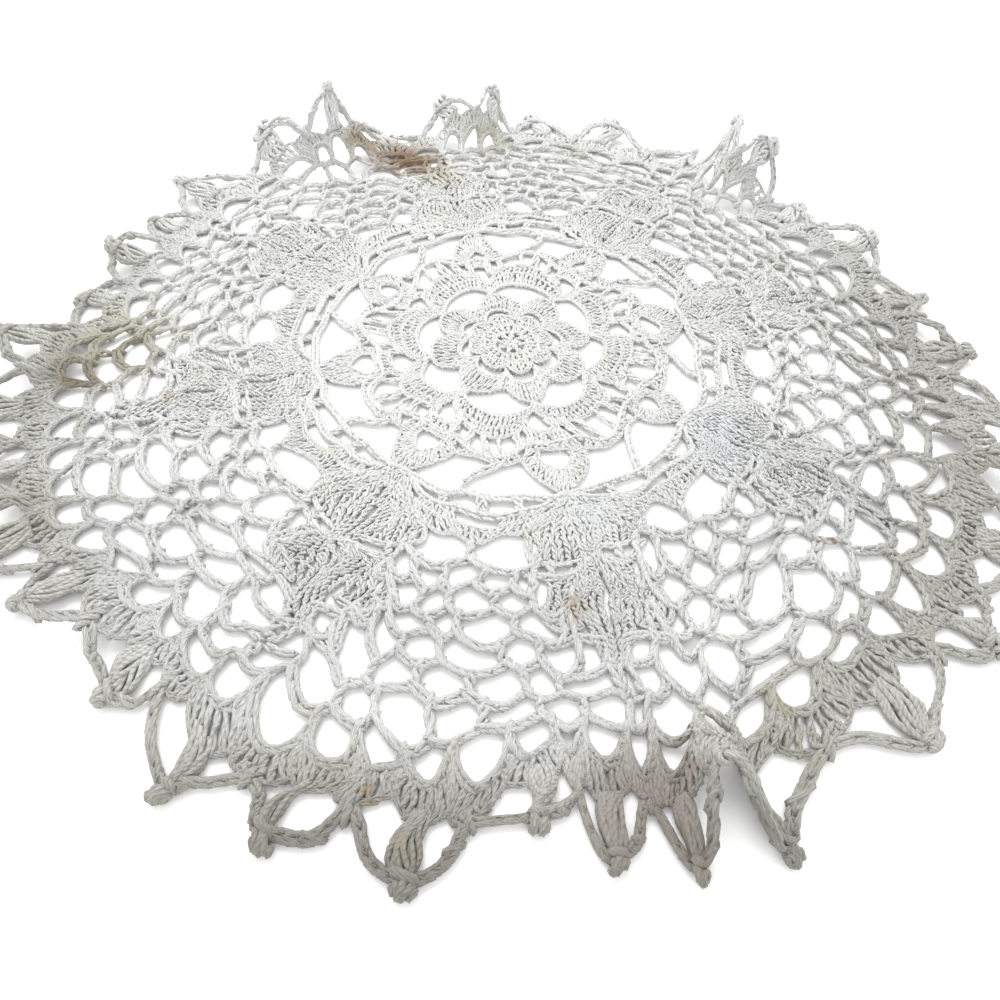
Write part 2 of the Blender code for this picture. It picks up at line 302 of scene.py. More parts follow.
class Threads:
    """The thread tubes of one piece: points, faces, and places along and round each thread."""

    def __init__(self, name):
        self.name = name
        self.middles = []
        self.rings = []
        self.faces = []
        self.caps = []
        self.along = []
        self.count = 0

    def add(self, flat, z, radius, sides=4, closed=False, up=(0.0, 0.0, 1.0)):
        """Tubes through flat places (tubes, places, 2) at heights z, in millimetres, or one tube without
        the first axis. radius is a number or one per place, and up is a way that the tube never runs."""
        paths = np.concatenate((flat, z[..., None]), axis=-1)
        if paths.ndim == 2:
            paths = paths[None]
        tubes, places, _ = paths.shape
        radius = np.broadcast_to(np.asarray(radius, float), (tubes, places))
        if closed:
            ahead = np.roll(paths, -1, axis=1) - np.roll(paths, 1, axis=1)
        else:
            ahead = np.gradient(paths, axis=1)
        ahead /= np.maximum(np.linalg.norm(ahead, axis=2), 1e-9)[..., None]
        up = np.broadcast_to(np.asarray(up, float), (tubes, 3))[:, None, :]
        side = np.cross(ahead, up)
        side /= np.maximum(np.linalg.norm(side, axis=2), 1e-6)[..., None]
        over = np.cross(side, ahead)
        around = circle(sides)
        ring = np.cos(around)[:, None] * side[:, :, None, :] + np.sin(around)[:, None] * over[:, :, None, :]
        ring = ring * radius[:, :, None, None]
        step = np.linalg.norm(np.diff(paths, axis=1, append=paths[:, :1]), axis=2)
        far = np.concatenate((np.zeros((tubes, 1)), np.cumsum(step, axis=1)), axis=1)
        far += rng.uniform(0.0, 40.0, (tubes, 1))

        index = self.count + np.arange(tubes * places * sides).reshape(tubes, places, sides)
        steps = places if closed else places - 1
        low = index[:, :steps]
        high = index[:, (np.arange(steps) + 1) % places]
        corners = (low, np.roll(low, -1, axis=2), np.roll(high, -1, axis=2), high)
        self.faces.append(np.stack(corners, axis=-1).reshape(-1, 4))
        rounds = max(1, round(float(np.mean(radius)) / BUNDLE))
        u_low = far[:, :steps, None]
        u_high = far[:, 1:steps + 1, None]
        v_low = rounds * np.arange(sides) / sides
        v_high = rounds * (np.arange(sides) + 1) / sides
        uvs = np.broadcast_arrays(u_low, v_low, u_low, v_high, u_high, v_high, u_high, v_low)
        self.along.append(np.stack(uvs, axis=-1).reshape(-1, 2))
        if not closed:
            self.caps.append((index[:, 0, ::-1].reshape(-1, sides), index[:, -1].reshape(-1, sides)))
        self.middles.append(paths.reshape(-1, 3))
        self.rings.append(ring.reshape(-1, sides, 3))
        self.count += tubes * places * sides

    def build(self, material):
        points = drape_rings(uneven(np.vstack(self.middles)), self.rings)
        points[:, 2] = np.maximum(points[:, 2], TABLE_CLEAR)
        quads = np.vstack(self.faces)
        uvs = self.along[:]
        loops = [quads.ravel()]
        totals = [np.full(len(quads), 4)]
        for ends in self.caps:
            for cap in ends:
                loops.append(cap.ravel())
                totals.append(np.full(len(cap), cap.shape[1]))
                uvs.append(np.zeros((cap.size, 2)))
        loops = np.concatenate(loops)
        totals = np.concatenate(totals)
        starts = np.concatenate(([0], np.cumsum(totals)[:-1]))
        mesh = bpy.data.meshes.new(self.name)
        mesh.vertices.add(len(points))
        mesh.vertices.foreach_set("co", points.ravel())
        mesh.loops.add(len(loops))
        mesh.loops.foreach_set("vertex_index", loops.astype(np.int32))
        mesh.polygons.add(len(totals))
        mesh.polygons.foreach_set("loop_start", starts.astype(np.int32))
        mesh.polygons.foreach_set("loop_total", totals.astype(np.int32))
        mesh.polygons.foreach_set("use_smooth", np.ones(len(totals), bool))
        layer = mesh.uv_layers.new(name="thread")
        layer.data.foreach_set("uv", np.vstack(uvs).ravel().astype(np.float32))
        mesh.update(calc_edges=True)
        mesh.materials.append(material)
        piece = bpy.data.objects.new(self.name, mesh)
        bpy.context.scene.collection.objects.link(piece)
        return piece


# ---- stitches
CHAIN_PITCH = 1.95          # millimetres along the cord for one chain stitch
CHAIN_LOOP = 1.85           # length of one teardrop loop, in pitches
CHAIN_PLACES = 8            # places round one loop
CORD_HALF = 0.47            # half distance between a loop's two legs
THREAD = 0.51               # radius of the cord's thread
CORD_LIFT = 0.30            # how far the loop's foot rises over its bow
CORD_HEIGHT = 1.12          # middle of a cord over the underside

loop_turn = circle(CHAIN_PLACES)
loop_along = 0.5 * (1.0 - np.cos(loop_turn))
loop_across = np.sin(loop_turn) * (0.72 + 0.50 * loop_along)
loop_over = 1.0 - 2.0 * loop_along


def stitch_places(line, stitches, lead, reach, along):
    """Places of stitches in a row on a line. Each starts lead of a stitch early and is reach stitches long.
    Gives back the distances along the line, the flat places and the way to the left."""
    step = line.length / stitches
    s = ((np.arange(stitches) - lead) * step)[:, None] + reach * step * along[None, :]
    ahead = line.heading(np.clip(s, 0.0, line.length))
    return s, line.place(s), np.stack((-ahead[..., 1], ahead[..., 0]), axis=-1)


def chain(threads, points, size=1.0, height=CORD_HEIGHT, pitch=CHAIN_PITCH, roll=None, sag=None):
    """A cord of chain stitches along a flat line. roll turns the cord about its own length, in radians, and
    sag is its rise at the start, the middle and the end, in millimetres."""
    line = Line(points)
    stitches = max(2, int(round(line.length / (pitch * size))))
    s, spot, left = stitch_places(line, stitches, 0.30, CHAIN_LOOP, loop_along)
    across = CORD_HALF * size * loop_across[None, :] * rng.uniform(0.88, 1.12, (stitches, 1))
    over = CORD_LIFT * size * loop_over[None, :]
    if roll is None:
        roll = rng.uniform(-0.5, 0.5) + rng.uniform(-0.9, 0.9) * np.linspace(-1.0, 1.0, stitches)
    angle = np.broadcast_to(np.asarray(roll, float), (stitches,))[:, None]
    v = across * np.cos(angle) - over * np.sin(angle)
    z = height * max(1.0, 0.9 * size) + (across * np.sin(angle) + over * np.cos(angle))
    if sag is not None:
        z = z + np.interp(s, (0.0, 0.5 * line.length, line.length), sag)
    threads.add(spot + v[..., None] * left, z, THREAD * size, closed=True)


POST_TURNS = 1.15
POST_PLACES = 6
POST_HALF = 0.34            # radius of the twist of a post's two strands
POST_THREAD = 0.39
POST_HEIGHT = 1.05
BACK_THREAD = 0.66          # radius of the strands at the back of a row
BACK_HEIGHT = 0.66
HEAD_PLACES = 6
HEAD_THREAD = 0.45


def posts(threads, feet, tops, size=1.0, height=POST_HEIGHT, places=POST_PLACES, turns=POST_TURNS,
          arch_up=0.0, wander=0.0, twist=POST_HALF, thread=POST_THREAD, flare=0.0):
    """Upright stitches: two twisted strands from each foot to its top, both flat places. flare thickens the
    ends, and arch_up lifts the middle, in millimetres."""
    feet = np.asarray(feet, float)
    tops = np.asarray(tops, float)
    count = len(feet)
    t = np.linspace(0.0, 1.0, places)
    ahead = tops - feet
    length = np.linalg.norm(ahead, axis=1)[:, None]
    left = np.stack((-ahead[:, 1], ahead[:, 0]), axis=1) / np.maximum(length, 1e-6)
    phase = rng.uniform(0.0, 2.0 * math.pi, (count, 1))
    hand = rng.choice((-1.0, 1.0), (count, 1))
    lean = rng.normal(0.0, 0.13, (count, 1)) * np.sin(math.pi * t)[None, :]
    if wander:
        bends = rng.uniform(0.6, 1.3, (count, 1)) * t[None, :] + rng.uniform(0.0, 1.0, (count, 1))
        lean = lean + wander * np.sin(2.0 * math.pi * bends)
    lift = height + rng.normal(0.0, 0.07 + 0.25 * wander, (count, 1)) + arch_up * np.sin(math.pi * t)[None, :]
    swell = (0.55 + 0.57 * np.sin(math.pi * t))[None, :]
    ends = 1.0 + flare * (2.0 * t - 1.0) ** 2
    for strand in (0.0, 0.5):
        angle = phase + 2.0 * math.pi * (strand + hand * turns * t[None, :])
        across = size * twist * swell * np.cos(angle) + lean
        z = lift + size * twist * swell * np.sin(angle)
        flat = feet[:, None, :] + ahead[:, None, :] * t[None, :, None] + left[:, None, :] * across[..., None]
        threads.add(flat, z, size * thread * ends)


def heads(threads, line, stitches, size, height):
    """The row of V-shaped heads that closes a row of posts."""
    turned = circle(HEAD_PLACES)
    along = 0.5 * (1.0 - np.cos(turned))
    _, spot, left = stitch_places(line, stitches, 0.35, 1.75, along)
    across = CORD_HALF * size * (np.sin(turned) * (0.5 + 0.7 * along))[None, :]
    across = across * rng.uniform(0.85, 1.15, (stitches, 1)) + rng.normal(0.0, 0.10, (stitches, 1))
    z = height + 0.26 * size * (1.0 - 2.0 * along)[None, :] + rng.normal(0.0, 0.06, (stitches, 1))
    threads.add(spot + across[..., None] * left, z, HEAD_THREAD * size, closed=True)


def even_places(line, count):
    """Flat places at even steps along a line, half a step in from its ends."""
    return line.place(line.length * (np.arange(count) + 0.5) / count)


def row(threads, inner, outer, count, size=1.0, head_height=1.30, head_size=0.80, over=0.0, slit=0.0,
        **style):
    """A row of posts from an inner to an outer line, with their back strands under them, closed by its heads.
    over carries the posts past both lines, in millimetres, slit opens the row's middle, and style is the
    posts' own."""
    inner = Line(inner)
    outer = Line(outer)
    feet = even_places(inner, count)
    tops = even_places(outer, count)
    feet = feet + rng.normal(0.0, 0.10, feet.shape)
    tops = tops + rng.normal(0.0, 0.10, tops.shape)
    if slit:
        side = np.sign(np.arange(count) + 0.5 - 0.5 * count)
        near = np.exp(-((np.arange(count) + 0.5 - 0.5 * count) / 1.6) ** 2)
        push = (slit * side * near)[:, None]
        feet = feet + push * inner.heading(np.full(count, 0.5 * inner.length))
        tops = tops + push * outer.heading(np.full(count, 0.5 * outer.length))
    ahead = tops - feet
    ahead /= np.maximum(np.linalg.norm(ahead, axis=1), 1e-6)[:, None]
    below, above = over * rng.uniform(0.3, 1.7, (2, count, 1))
    posts(threads, feet - below * ahead, tops + above * ahead, size=size, **style)
    threads.add(np.stack((feet, tops), axis=1), np.full((count, 2), BACK_HEIGHT), BACK_THREAD * size)
    if head_size:
        heads(threads, outer, count, head_size, head_height)


def ways(heading):
    """Unit steps along a heading in radians, and to its left."""
    ahead = np.array((math.cos(heading), math.sin(heading)))
    return ahead, np.array((-ahead[1], ahead[0]))


KNOT_PLACES = 8
KNOT_HALF = 0.98            # half the width of a wrap, in millimetres
KNOT_LEAN = 0.35            # how far it leans along the cord


def knot(threads, place, heading, size=1.0, height=CORD_HEIGHT, rise=0.72):
    """A wrap: a leaning ring round a cord at a flat place, the cord running along heading (radians)."""
    turned = circle(KNOT_PLACES)
    ahead, left = ways(heading)
    aside = KNOT_HALF * size * np.cos(turned)
    z = height + rise * size * np.sin(turned)
    flat = place + aside[:, None] * left + KNOT_LEAN * size * np.cos(turned)[:, None] * ahead
    threads.add(flat, z, THREAD * size, closed=True, up=(*ahead, 0.0))


def post(threads, foot, top, **style):
    """One upright stitch between two polar places (r, a)."""
    posts(threads, [polar(*foot)], [polar(*top)], **style)


def outward(a):
    """The heading of the way out from the hub at an angle from the first spray, in radians."""
    return math.radians(a + SPRAY_ANGLE)


def arc(a0, a1, r, bulge=0.0):
    """A flat line from angle a0 to a1 at radius r, bulging outwards by bulge in the middle."""
    u = np.linspace(0.0, 1.0, 13)
    return polar(r + 4.0 * bulge * u * (1.0 - u), a0 + (a1 - a0) * u)


def curve(places, about=0.0, side=1.0):
    """A smooth flat line through polar places (r, angle from about), mirrored where side is -1."""
    r, a = np.array(places, float).T
    return through(polar(r, about + side * a))


def mirrored(places, middle=True):
    """Polar places and their mirror images. The last place is the middle one, unless middle is False."""
    return tuple((r, -a) for r, a in places) + tuple(reversed(places[:-1] if middle else places))


# ---- the rounds of the pattern
def rose(threads):
    """Hub with spokes and two rounds of petals."""
    for k in range(SPRAYS):
        a = k * SECTOR
        m = a + 0.5 * SECTOR
        post(threads, (0.004, m), (0.084, m), size=1.45, height=1.2, arch_up=0.3)
        chain(threads, arc(a - 1.0, a + 46.0, 0.086), size=0.72, height=1.2)
        row(threads, arc(a, a + 45.0, 0.084), arc(a, a + 45.0, 0.142), 3, size=1.3, head_size=0.0)
        # first petals, small and raised
        ring = arc(a - 22.5, a + 22.5, 0.140, 0.004)
        chain(threads, ring, size=0.95, height=1.25)
        row(threads, ring, arc(a - 20.5, a + 20.5, 0.178, 0.040), 7, height=1.45, head_height=1.85)
        # chain loop behind, and the second petals on it
        chain(threads, arc(a - 22.5, a + 22.5, 0.206, 0.078), size=0.95)
        post(threads, (0.172, m), (0.250, m), size=1.4)
        row(threads, arc(a - 21.0, a + 21.0, 0.224, 0.074), arc(a - 19.5, a + 19.5, 0.325, 0.090), 13,
            height=1.2, head_height=1.5)
        post(threads, (0.335, m), (0.255, m), size=1.2)
        # the chain and the stitches that carry the band, one scallop a sector
        posts(threads, polar([0.405, 0.405], [a - 1.0, a + 1.0]), polar([0.470, 0.470], [a - 1.5, a + 1.5]),
              size=1.4)
        chain(threads, arc(a + 1.0, a + 44.0, 0.440, 0.064), size=0.85)


# Lines of the band are polar places (r, angle); a scallop's angles are from the middle of its sector.
SCALLOP = (
    mirrored(((0.445, 21.0), (0.472, 15.0), (0.494, 8.0), (0.502, 0.0))),
    mirrored(((0.470, 22.2), (0.530, 18.0), (0.566, 11.0), (0.588, 0.0))),
    mirrored(((0.492, 22.2), (0.552, 18.8), (0.598, 13.0), (0.632, 7.0), (0.650, 0.0))),
)
OPENING_WALLS = (
    # foot (r, a), top (r, a), posts side by side
    ((0.575, 5.4), (0.712, 4.6), 2),
    ((0.590, 11.8), (0.740, 11.4), 2),
    ((0.630, 19.0), (0.785, 18.8), 2),
    ((0.630, 26.2), (0.765, 26.2), 1),
    ((0.600, 34.2), (0.720, 34.0), 2),
    ((0.575, 39.6), (0.712, 40.4), 2),
)
OPENING_FLOOR = ((0.582, 4.6), (0.606, 7.6), (0.622, 11.0))
JOIN_FOOT = mirrored(((0.632, 4.8), (0.646, 2.4), (0.650, 0.0)))
JOIN_TOP = mirrored(((0.700, 6.5), (0.706, 0.0)))
RING_LINE = ((0.712, 0.0), (0.702, 7.5), (0.735, 12.0), (0.776, 16.5), (0.786, 22.0), (0.765, 26.0),
             (0.730, 31.0), (0.702, 37.5), (0.712, 45.0))
RING_EDGE = ((0.790, 9.5), (0.800, 14.0), (0.810, 19.0), (0.812, 25.0), (0.800, 30.0), (0.790, 35.5))
CUP_ROOT = mirrored(((0.706, 8.5), (0.715, 4.0), (0.716, 0.0)))
CUP_SEAT = mirrored(((0.795, 9.5), (0.752, 6.2), (0.737, 0.0)))
CUP_INNER = mirrored(((0.756, 4.4), (0.788, 4.9), (0.826, 2.9), (0.856, 0.0)))
CUP_OUTER = mirrored(((0.792, 9.6), (0.848, 8.2), (0.908, 5.9), (0.962, 2.8), (0.998, 0.0)))
STRUT = ((0.812, 28.0), (0.860, 25.2), (0.918, 21.8), (0.965, 20.2), (1.000, 20.6))


def band(threads):
    """The scalloped band, the openings round it, the cups and the windows with their struts."""
    for k in range(SPRAYS):
        a = k * SECTOR
        inner, middle, outer = (curve(places, a + 0.5 * SECTOR) for places in SCALLOP)
        row(threads, inner, middle, 19, head_size=0.7, head_height=1.15, over=0.45, wander=0.12)
        row(threads, middle, outer, 21, over=0.30, wander=0.12)
        for (r0, a0), (r1, a1), count in OPENING_WALLS:
            shift, lean = rng.normal(0.0, 1.0, 2)
            side = 1.35 * (np.arange(count) - 0.5 * (count - 1))
            feet = polar(np.full(count, r0), a + a0 + shift + 1.25 * side)
            tops = polar(np.full(count, r1), a + a1 + lean + side)
            posts(threads, feet, tops, size=1.18, height=1.2, wander=0.22, flare=0.25)
        chain(threads, curve(OPENING_FLOOR, a), size=0.95)
        chain(threads, curve(OPENING_FLOOR, a + SECTOR, -1.0), size=0.95)
        low = curve(JOIN_FOOT, a, -1.0)
        chain(threads, low, size=1.1)
        row(threads, low, curve(JOIN_TOP, a, -1.0), 7, wander=0.15)
        chain(threads, curve(RING_LINE, a), size=1.18)
        # solid rows outside the ring
        row(threads, curve(CUP_ROOT, a), curve(CUP_SEAT, a), 10, wander=0.15)
        row(threads, curve(RING_LINE[2:7], a), curve(RING_EDGE, a), 13, wander=0.15)
        row(threads, curve(CUP_INNER, a), curve(CUP_OUTER, a), 20, wander=0.15)
        chain(threads, curve(CUP_INNER, a), size=0.85, height=1.0)
        # window strut
        lean = rng.uniform(-2.5, 1.5)
        chain(threads, curve([(r, turned + lean) for r, turned in STRUT], a), size=1.34)


STEM_RING = 0.998
STEM_LINE = ((1.018, 4.4), (1.062, 9.0), (1.082, 14.0), (1.090, 22.5), (1.082, 31.0), (1.062, 36.0),
             (1.018, 40.6))
STEM_STRUTS = ((12.5, 1.075), (22.0, 1.085), (31.5, 1.078))     # angle, top radius


def stems(threads):
    """The chain ring at the sprays' roots, a second chain outside it, and the struts between them."""
    for k in range(SPRAYS):
        a = k * SECTOR
        for begin, finish in ((0.6, 20.4), (20.4, 44.4)):
            chain(threads, arc(a + begin, a + finish, STEM_RING, rng.uniform(-0.014, 0.012)), size=1.32)
        chain(threads, curve(STEM_LINE, a), size=1.28)
        for at, reach in STEM_STRUTS:
            turned = at + rng.normal(0.0, 1.2)
            side = np.array((-0.45, 0.45))
            posts(threads, polar(np.full(2, STEM_RING), a + turned + side),
                  polar(np.full(2, reach), a + turned + 0.4 + 1.2 * side), size=1.3, height=1.2)


LEAF_ROWS = (
    # inner r, outer r, half widths in and out (deg), bulge in and out, posts, slit in the middle (mm)
    (0.995, 1.090, 1.4, 6.4, 0.006, 0.012, 9, 0.0),
    (1.085, 1.175, 6.2, 10.2, 0.012, 0.018, 16, 0.35),
    (1.168, 1.255, 10.0, 12.8, 0.018, 0.024, 21, 0.45),
    (1.248, 1.335, 12.8, 11.2, 0.024, 0.014, 21, 0.55),
    (1.322, 1.405, 2.9, 3.2, 0.004, 0.004, 5, 0.25),
    (1.392, 1.464, 3.4, 7.8, 0.004, 0.012, 12, 0.35),
    (1.455, 1.534, 7.6, 9.0, 0.012, 0.016, 17, 0.45),
    (1.525, 1.605, 9.0, 9.5, 0.016, 0.020, 19, 0.5),
    (1.596, 1.672, 9.5, 7.4, 0.020, 0.012, 17, 0.55),
    (1.655, 1.712, 3.1, 2.9, 0.004, 0.004, 5, 0.0),
    (1.704, 1.768, 2.8, 2.3, 0.004, 0.005, 5, 0.15),
    (1.758, 1.830, 2.3, 1.1, 0.005, 0.005, 4, 0.0),
)
UPPER_LEAF = 1.38           # where the upper leaves start
TAIL_START = 1.60
TAIL_END = 1.83
# One value a spray: the upper leaf's width, how far it sits to one side in degrees, and how far the tail
# slants, in degrees for a ring unit outwards.
LEAF_WIDTH = (1.04, 1.16, 1.0, 1.08, 0.96, 1.05, 1.0, 1.06)
LEAF_LEAN = (1.5, 1.8, 0.3, 1.4, 0.3, 0.8, -0.4, 0.5)
TAIL_SLANT = (6.0, 0.0, 4.0, -3.0, 5.0, 2.0, -4.0, 3.0)


def leaf_axis(k, r):
    """How far to one side the axis of a spray's upper leaf and tail lies at radius r, in degrees."""
    k = k % SPRAYS
    slant = TAIL_SLANT[k] * max(0.0, min(r, TAIL_END) - TAIL_START)
    return LEAF_LEAN[k] * float(smooth((r - 1.39) / 0.1)) + slant


LEAF_EDGES = (
    # size, places (r, angle from the axis) of the cords that edge a leaf, mirrored on its other side
    (0.95, ((1.255, 12.6), (1.300, 12.4), (1.338, 11.0))),
    (1.00, ((1.340, 11.0), (1.354, 7.0), (1.346, 3.0))),
    (1.10, ((1.404, 2.8), (1.414, 6.5), (1.404, 9.7))),
    (0.95, ((1.540, 8.9), (1.595, 9.6), (1.645, 9.0), (1.674, 7.0), (1.682, 4.0))),
)
WAIST_WALLS = (6.6, 10.3)
TAIL_CAP = mirrored(((1.938, 2.5), (1.950, 1.3), (1.952, 0.0)))


def leaves(threads, sprays):
    """The leaf sprays: lower leaf, waist, upper leaf and tail, each of rows of solid stitches."""
    for k in sprays:
        a = k * SECTOR
        for r_in, r_out, w_in, w_out, b_in, b_out, count, slit in LEAF_ROWS:
            low = a + leaf_axis(k, r_in)
            high = a + leaf_axis(k, r_out)
            if r_in > UPPER_LEAF:
                w_in *= LEAF_WIDTH[k]
                w_out *= LEAF_WIDTH[k]
                count = round(count * LEAF_WIDTH[k])
            inner = arc(low - w_in, low + w_in, r_in - b_in, b_in)
            outer = arc(high - w_out, high + w_out, r_out - b_out, b_out)
            row(threads, inner, outer, count, size=1.08, over=0.75, slit=slit, height=1.15, head_size=0.0,
                places=9, turns=2.1, wander=0.24, twist=0.43, thread=0.37)
        tip = leaf_axis(k, TAIL_END)
        post(threads, (1.822, a + tip), (1.952, a + 0.5 * tip), size=WALL_SIZE, height=1.25, turns=1.6)
        chain(threads, curve(TAIL_CAP, a + 0.5 * tip), size=1.15)
        for side in (-1.0, 1.0):
            for size, places in LEAF_EDGES:
                wide = LEAF_WIDTH[k] if places[0][0] > UPPER_LEAF else 1.0
                shifted = [(r, side * wide * turned + leaf_axis(k, r)) for r, turned in places]
                chain(threads, curve(shifted, a), size=size)
            for at in WAIST_WALLS:
                turned = at + rng.normal(0.0, 0.5)
                post(threads, (1.338, a + side * turned), (1.410, a + side * (turned - 0.3)), size=WALL_SIZE,
                     height=1.2)


# Lines of a fan: polar places, their angles from the middle of the sector.
FAN_WINGS = (((1.066, 14.6), (1.082, 10.0), (1.090, 5.0)), ((1.118, 15.0), (1.146, 9.4), (1.154, 3.8)))
FAN_INNER = mirrored(((1.112, 14.4), (1.144, 9.8), (1.156, 3.4), (1.156, 0.0)))
FAN_OUTER = mirrored(((1.185, 13.2), (1.222, 8.6), (1.212, 5.2), (1.246, 2.2), (1.276, 0.0)))


def fans(threads):
    """Small fans between the lower leaves."""
    for k in range(SPRAYS):
        m = (k + 0.5) * SECTOR + rng.normal(0.0, 0.6)
        for side in (-1.0, 1.0):
            inner, middle = (curve(places, m, side) for places in FAN_WINGS)
            row(threads, inner, middle, 11, over=0.45, height=1.15, head_size=0.7, head_height=1.1,
                wander=0.25)
        chain(threads, curve(FAN_INNER, m), size=0.9)
        row(threads, curve(FAN_INNER, m), curve(FAN_OUTER, m), 24, over=0.30, height=1.15, wander=0.25)


NET_ROWS = (
    # top radius, feet (r, angle from the middle of the sector); the end feet are on the leaves
    (1.402, mirrored(((1.290, 11.3), (1.275, 0.0)))),
    (1.506, mirrored(((1.345, 12.8), (1.372, 8.9), (1.376, 3.1)), middle=False)),
    (1.618, mirrored(((1.470, 16.2), (1.475, 12.0), (1.482, 6.1), (1.484, 0.0)))),
    (1.732, mirrored(((1.590, 14.6), (1.590, 9.2), (1.594, 3.1)), middle=False)),
    (1.852, mirrored(((1.665, 16.8), (1.700, 11.9), (1.704, 6.1), (1.704, 0.0)))),
    (1.978, mirrored(((1.790, 20.9), (1.815, 14.6), (1.822, 8.7), (1.822, 2.9)), middle=False)),
)
SIDE_CORDS = (
    # the row from whose second foot a cord runs to a tail, and its places (r, angle from the middle); the
    # other side has its mirror image
    (4, ((1.718, 17.6), (1.735, 20.8))),
    (5, ((1.838, 17.4), (1.815, 21.6))),
)
NET_SIZE = 1.40
WALL_SIZE = 1.78
WALL_SHARE = 0.64           # how far up a loop its wall stitch reaches
LAST_FEET = ((1.955, -22.5), (1.936, -16.8), (1.940, -11.3), (1.942, -5.8), (1.942, 0.0), (1.942, 5.8),
             (1.940, 11.5), (1.936, 17.2), (1.955, 22.5))
LAST_TOP = 2.100
LAST_SHARE = 0.66


def arch(foot, top, foot_2):
    """A chain over a gap: from the head of one wall stitch (r, a), over the top radius, to the next."""
    (r0, a0), (r1, a1) = foot, foot_2
    w = a1 - a0
    places = ((r0, a0), (r0 + 0.40 * (top - r0), a0 + 0.14 * w), (r0 + 0.76 * (top - r0), a0 + 0.31 * w),
              (top, 0.5 * (a0 + a1)), (r1 + 0.76 * (top - r1), a1 - 0.31 * w),
              (r1 + 0.40 * (top - r1), a1 - 0.14 * w), (r1, a1))
    return curve(places)


def reach_of(lines, at):
    """The radii of a row's chains at angles from the first spray."""
    x, y = np.vstack(lines).T
    angles = np.degrees(np.arctan2(y, x)) - SPRAY_ANGLE
    return np.interp(at, angles, np.hypot(x, y) / RING, period=360.0)


def at_leaves(feet, k, share=1.0):
    """The feet of a row with its first and last moved with the leaves that they are on."""
    (r_0, first), (r_1, last) = feet[0], feet[-1]
    return [(r_0, first + share * leaf_axis(k, r_0)), *feet[1:-1],
            (r_1, last + share * leaf_axis(k + 1, r_1))]


def on_chains(feet, lines, m):
    """The feet of a row moved on to the chains below it, but for the two at its ends."""
    if not lines:
        return feet
    inner = [(float(reach_of(lines, m + a)), a) for r, a in feet[1:-1]]
    return [feet[0]] + inner + [feet[-1]]


def uneven_feet(feet):
    """The feet of a row moved a little, but for the two at its ends."""
    inner = [(r + rng.normal(0.0, 0.008), a + rng.normal(0.0, 0.65)) for r, a in feet[1:-1]]
    return [feet[0]] + inner + [feet[-1]]


def loops(threads, feet, top, m, narrow=3.6, share=WALL_SHARE):
    """One row of the net: a thick stitch on each foot, chains from stitch to stitch, and knots. A chain
    between feet less than narrow degrees apart stays low. Gives back the lines of the chains."""
    tops = []
    for (r0, a0), (r1, a1) in zip(feet[:-1], feet[1:]):
        tops.append((min(top, max(r0, r1) + 0.05) if a1 - a0 < narrow else top) + rng.normal(0.0, 0.006))
    walls = []
    for i, (r, a) in enumerate(feet):
        near = min(tops[max(i - 1, 0)], tops[min(i, len(tops) - 1)])
        high = (r + share * (near - r), a + rng.normal(0.0, 0.25))
        walls.append(high)
        post(threads, (r - 0.004, m + a), (high[0] + 0.010, m + high[1]), size=WALL_SIZE, height=1.30,
             turns=1.0, flare=0.38)
        knot(threads, polar(r, m + a), outward(m + a) + 0.5 * math.pi, size=1.30)
    lines = []
    for low, high, over in zip(walls[:-1], walls[1:], tops):
        sag = (0.20, rng.uniform(-0.2, 0.2), -0.20)
        lines.append(arch((low[0], m + low[1]), over, (high[0], m + high[1])))
        chain(threads, lines[-1], size=NET_SIZE, sag=sag)
    return lines


net_edge = {}               # the outermost chains of each sector's net


def net(threads, sectors):
    """Chain-loop net between the sprays."""
    for k in sectors:
        m = (k + 0.5) * SECTOR
        lines = []
        rows = []
        for top, feet in NET_ROWS:
            rows.append(on_chains(uneven_feet(at_leaves(feet, k)), lines, m))
            lines = loops(threads, rows[-1], top, m)
        net_edge[k] = lines
        for side, spray, second in ((-1.0, k, 1), (1.0, k + 1, -2)):
            for number, places in SIDE_CORDS:
                shifted = [(r, side * a + leaf_axis(spray, r)) for r, a in places]
                chain(threads, curve([rows[number][second]] + shifted, m), size=1.25)


def last_round(threads):
    """The last round of loops, outside the sprays, and the chain loops hung on it for the shells."""
    lines = []
    for k in range(SPRAYS):
        m = (k + 0.5) * SECTOR
        feet = on_chains(uneven_feet(at_leaves(LAST_FEET, k, share=0.5)), net_edge[k], m)
        lines += loops(threads, feet, LAST_TOP, m, narrow=0.0, share=LAST_SHARE)
    at = 0.5 * CLUSTER_PITCH * np.arange(2 * CLUSTERS)
    reached = reach_of(lines, at)
    for i in range(2 * CLUSTERS):
        chain(threads, garland(at[i], reached[i], reached[(i + 1) % len(reached)]), size=1.34)
        knot(threads, polar(reached[i], at[i]), outward(at[i]) + 0.5 * math.pi, size=1.45)


# Lines of a border shell: polar places, their angles from the shell's middle.
GARLAND = mirrored(((2.136, 2.38), (2.168, 2.14), (2.206, 1.56), (2.230, 0.78), (2.238, 0.0)))
SHELL_INNER = mirrored(((2.136, 2.34), (2.172, 2.04), (2.208, 1.40), (2.228, 0.70), (2.234, 0.0)))
SHELL_OUTER = mirrored(((2.205, 2.72), (2.285, 2.56), (2.330, 1.75), (2.352, 0.90), (2.360, 0.0)))


def garland(a, r_0, r_1):
    """The chain loop that a shell is worked on, hung outwards from the last round at two radii."""
    return curve(((r_0 + 0.004, -2.5), *GARLAND, (r_1 + 0.004, 2.5)), a + 0.25 * CLUSTER_PITCH)


